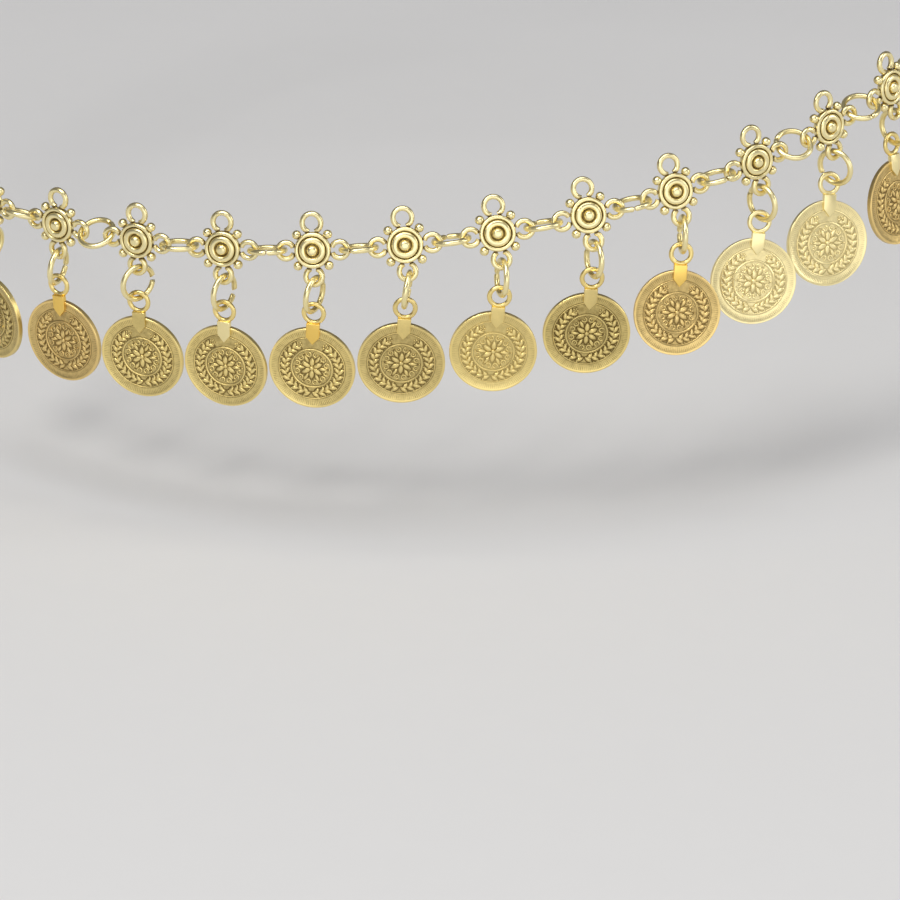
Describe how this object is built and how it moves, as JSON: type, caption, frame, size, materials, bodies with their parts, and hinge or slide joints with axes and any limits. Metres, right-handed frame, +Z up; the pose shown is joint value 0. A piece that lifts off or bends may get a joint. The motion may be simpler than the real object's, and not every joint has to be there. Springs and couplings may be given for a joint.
{
  "type": "waist chain",
  "caption": "Open chain loop worn round the waist, with domed four-loop connectors, jump rings and a hanging coin below each connector.",
  "frame": {"origin": "centre of the loop, inside the waist that holds it up", "axes": "+Z up, -Y towards the decorated front, +X towards the wearer's left"},
  "size_m": [0.273, 0.2316, 0.0821],
  "materials": {
    "antique_gold": "antiqued gold plate, dark in the recesses and polished on the edges",
    "bright_gold": "bright pale gold plate"
  },
  "bodies": {
    "chain": {"chain_left": "antique_gold", "chain_right": "antique_gold", "clasp_ring": "bright_gold", "clasp": "bright_gold", "connector_01": "antique_gold", "connector_02": "antique_gold", "connector_03": "antique_gold", "connector_04": "antique_gold", "connector_05": "antique_gold", "connector_06": "antique_gold", "connector_07": "antique_gold", "connector_08": "antique_gold", "connector_09": "antique_gold", "connector_10": "antique_gold", "connector_11": "antique_gold", "connector_12": "antique_gold", "side_ring_00": "bright_gold", "side_ring_01": "bright_gold", "side_ring_02": "bright_gold", "side_ring_03": "bright_gold", "side_ring_04": "bright_gold", "side_ring_05": "bright_gold", "side_ring_06": "bright_gold", "side_ring_07": "bright_gold", "side_ring_08": "bright_gold", "side_ring_09": "bright_gold", "side_ring_10": "bright_gold", "side_ring_11": "bright_gold", "side_ring_12": "bright_gold"},
    "ring_01": {"drop_ring_01": "bright_gold"},
    "pendant_01": {"coin_01": "antique_gold"},
    "ring_02": {"drop_ring_02": "bright_gold"},
    "pendant_02": {"coin_02": "antique_gold"},
    "ring_03": {"drop_ring_03": "bright_gold"},
    "pendant_03": {"coin_03": "antique_gold"},
    "ring_04": {"drop_ring_04": "bright_gold"},
    "pendant_04": {"coin_04": "antique_gold"},
    "ring_05": {"drop_ring_05": "bright_gold"},
    "pendant_05": {"coin_05": "antique_gold"},
    "ring_06": {"drop_ring_06": "bright_gold"},
    "pendant_06": {"coin_06": "antique_gold"},
    "ring_07": {"drop_ring_07": "bright_gold"},
    "pendant_07": {"coin_07": "antique_gold"},
    "ring_08": {"drop_ring_08": "bright_gold"},
    "pendant_08": {"coin_08": "antique_gold"},
    "ring_09": {"drop_ring_09": "bright_gold"},
    "pendant_09": {"coin_09": "antique_gold"},
    "ring_10": {"drop_ring_10": "bright_gold"},
    "pendant_10": {"coin_10": "antique_gold"},
    "ring_11": {"drop_ring_11": "bright_gold"},
    "pendant_11": {"coin_11": "antique_gold"},
    "ring_12": {"drop_ring_12": "bright_gold"},
    "pendant_12": {"coin_12": "antique_gold"}
  },
  "joints": [
    {"name": "ring_01_swing", "type": "hinge", "parent": "chain", "child": "ring_01", "pos_m": [-0.09999, -0.07427, -0.02788], "axis": [-0.7332, 0.68, 0.0043], "range_deg": [-4, 55]},
    {"name": "coin_01_swing", "type": "hinge", "parent": "ring_01", "child": "pendant_01", "pos_m": [-0.09999, -0.07427, -0.03277], "axis": [-0.6696, 0.7395, -0.0698], "range_deg": [-6, 55]},
    {"name": "ring_02_swing", "type": "hinge", "parent": "chain", "child": "ring_02", "pos_m": [-0.08311, -0.08739, -0.02766], "axis": [-0.837, 0.5467, -0.0234], "range_deg": [-4, 50]},
    {"name": "coin_02_swing", "type": "hinge", "parent": "ring_02", "child": "pendant_02", "pos_m": [-0.08334, -0.08728, -0.03256], "axis": [-0.8434, 0.5302, -0.0872], "range_deg": [-6, 55]},
    {"name": "ring_03_swing", "type": "hinge", "parent": "chain", "child": "ring_03", "pos_m": [-0.06447, -0.09783, -0.02687], "axis": [-0.9103, 0.411, -0.0481], "range_deg": [-4, 17]},
    {"name": "coin_03_swing", "type": "hinge", "parent": "ring_03", "child": "pendant_03", "pos_m": [-0.06447, -0.09783, -0.03177], "axis": [-0.9366, 0.3465, -0.0523], "range_deg": [-6, 13]},
    {"name": "ring_04_swing", "type": "hinge", "parent": "chain", "child": "ring_04", "pos_m": [-0.04457, -0.10564, -0.02553], "axis": [-0.9585, 0.2763, -0.07], "range_deg": [-4, 32]},
    {"name": "coin_04_swing", "type": "hinge", "parent": "ring_04", "child": "pendant_04", "pos_m": [-0.04457, -0.10564, -0.03043], "axis": [-0.9391, 0.3433, -0.0175], "range_deg": [-6, 43]},
    {"name": "ring_05_swing", "type": "hinge", "parent": "chain", "child": "ring_05", "pos_m": [-0.0238, -0.11084, -0.02365], "axis": [-0.9856, 0.1436, -0.0893], "range_deg": [-4, 28]},
    {"name": "coin_05_swing", "type": "hinge", "parent": "ring_05", "child": "pendant_05", "pos_m": [-0.02396, -0.11076, -0.02855], "axis": [-0.98, 0.1957, 0.0349], "range_deg": [-6, 40]},
    {"name": "ring_06_swing", "type": "hinge", "parent": "chain", "child": "ring_06", "pos_m": [-0.00249, -0.11294, -0.0214], "axis": [-0.9942, 0.0129, -0.1064], "range_deg": [-4, 44]},
    {"name": "coin_06_swing", "type": "hinge", "parent": "ring_06", "child": "pendant_06", "pos_m": [-0.00308, -0.11286, -0.02626], "axis": [-0.9975, 0.0129, 0.0698], "range_deg": [-6, 55]},
    {"name": "ring_07_swing", "type": "hinge", "parent": "chain", "child": "ring_07", "pos_m": [0.0189, -0.11184, -0.01893], "axis": [-0.9857, -0.1166, -0.1215], "range_deg": [-4, 42]},
    {"name": "coin_07_swing", "type": "hinge", "parent": "ring_07", "child": "pendant_07", "pos_m": [0.0184, -0.11197, -0.02381], "axis": [-0.9941, -0.0303, 0.1045], "range_deg": [-6, 46]},
    {"name": "ring_08_swing", "type": "hinge", "parent": "chain", "child": "ring_08", "pos_m": [0.03987, -0.10768, -0.01627], "axis": [-0.96, -0.2455, -0.1346], "range_deg": [-4, 41]},
    {"name": "coin_08_swing", "type": "hinge", "parent": "ring_08", "child": "pendant_08", "pos_m": [0.0394, -0.10788, -0.02114], "axis": [-0.9933, -0.0755, 0.0872], "range_deg": [-6, 37]},
    {"name": "ring_09_swing", "type": "hinge", "parent": "chain", "child": "ring_09", "pos_m": [0.06, -0.10061, -0.01338], "axis": [-0.9157, -0.3744, -0.1457], "range_deg": [-4, 34]},
    {"name": "coin_09_swing", "type": "hinge", "parent": "ring_09", "child": "pendant_09", "pos_m": [0.05974, -0.10065, -0.01827], "axis": [-0.9903, -0.1083, 0.0872], "range_deg": [-6, 55]},
    {"name": "ring_10_swing", "type": "hinge", "parent": "chain", "child": "ring_10", "pos_m": [0.0784, -0.08997, -0.01048], "axis": [-0.8502, -0.5032, -0.1545], "range_deg": [-4, 40]},
    {"name": "coin_10_swing", "type": "hinge", "parent": "ring_10", "child": "pendant_10", "pos_m": [0.07798, -0.08978, -0.01534], "axis": [-0.9791, -0.1484, 0.1392], "range_deg": [-6, 7]},
    {"name": "ring_11_swing", "type": "hinge", "parent": "chain", "child": "ring_11", "pos_m": [0.09552, -0.07771, -0.00715], "axis": [-0.7596, -0.6303, -0.1604], "range_deg": [-4, 34]},
    {"name": "coin_11_swing", "type": "hinge", "parent": "ring_11", "child": "pendant_11", "pos_m": [0.09434, -0.07696, -0.0116], "axis": [-0.9264, -0.3498, 0.1392], "range_deg": [-6, 5]},
    {"name": "ring_12_swing", "type": "hinge", "parent": "chain", "child": "ring_12", "pos_m": [0.11025, -0.06272, -0.00375], "axis": [-0.6391, -0.7518, -0.1623], "range_deg": [-4, 55]},
    {"name": "coin_12_swing", "type": "hinge", "parent": "ring_12", "child": "pendant_12", "pos_m": [0.10906, -0.06223, -0.00831], "axis": [-0.6713, -0.736, 0.0872], "range_deg": [-6, 25]}
  ]
}
